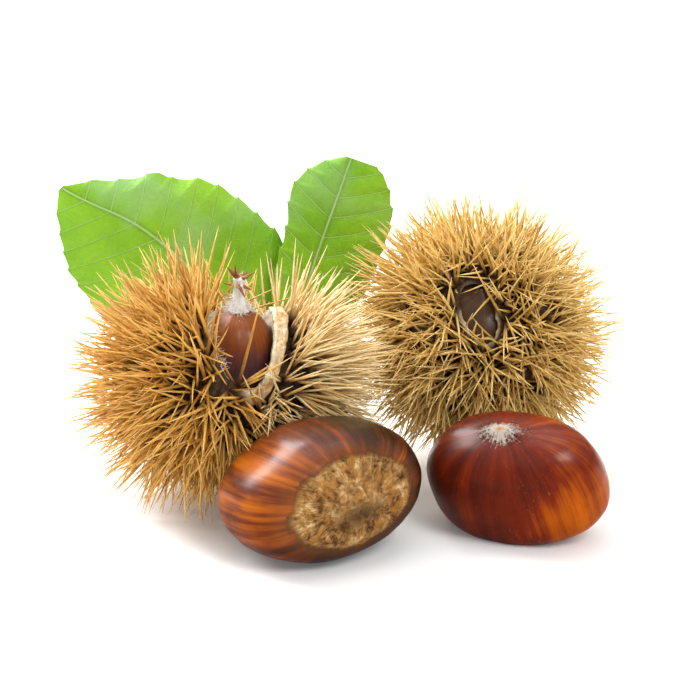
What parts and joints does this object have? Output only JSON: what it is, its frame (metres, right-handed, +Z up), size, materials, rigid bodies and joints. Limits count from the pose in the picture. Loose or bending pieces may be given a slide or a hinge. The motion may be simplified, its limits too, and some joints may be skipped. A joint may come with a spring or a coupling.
{
  "type": "sweet chestnuts with burs and leaves",
  "caption": "Glossy brown chestnuts lying in front of a split bur holding a nut, a nearly closed spiny bur, and serrated green leaves.",
  "frame": {"origin": "bottom centre of the whole arrangement's bounding box, on the surface it stands on", "axes": "+Z up, -Y towards the loose nuts, +Y towards the leaves, +X along the row from the open bur to the nearly closed one"},
  "size_m": [0.1182, 0.0912, 0.0628],
  "materials": {
    "nut_shell": "glossy mahogany brown shell with dark streaks and a dull tan base scar",
    "dull_nut_shell": "satin dark brown shell",
    "golden_husk": "matte dry husk with golden ochre spines and a cream rim",
    "straw_husk": "matte dry husk with straw coloured spines",
    "leaf": "satin fresh green leaf with pale veins"
  },
  "bodies": {
    "root": {"left_nut": "nut_shell", "right_nut": "nut_shell", "open_bur_husk": "golden_husk", "open_bur_nut": "nut_shell", "right_bur_husk": "straw_husk", "right_bur_nut": "dull_nut_shell", "left_leaf": "leaf", "right_leaf": "leaf"}
  },
  "joints": []
}
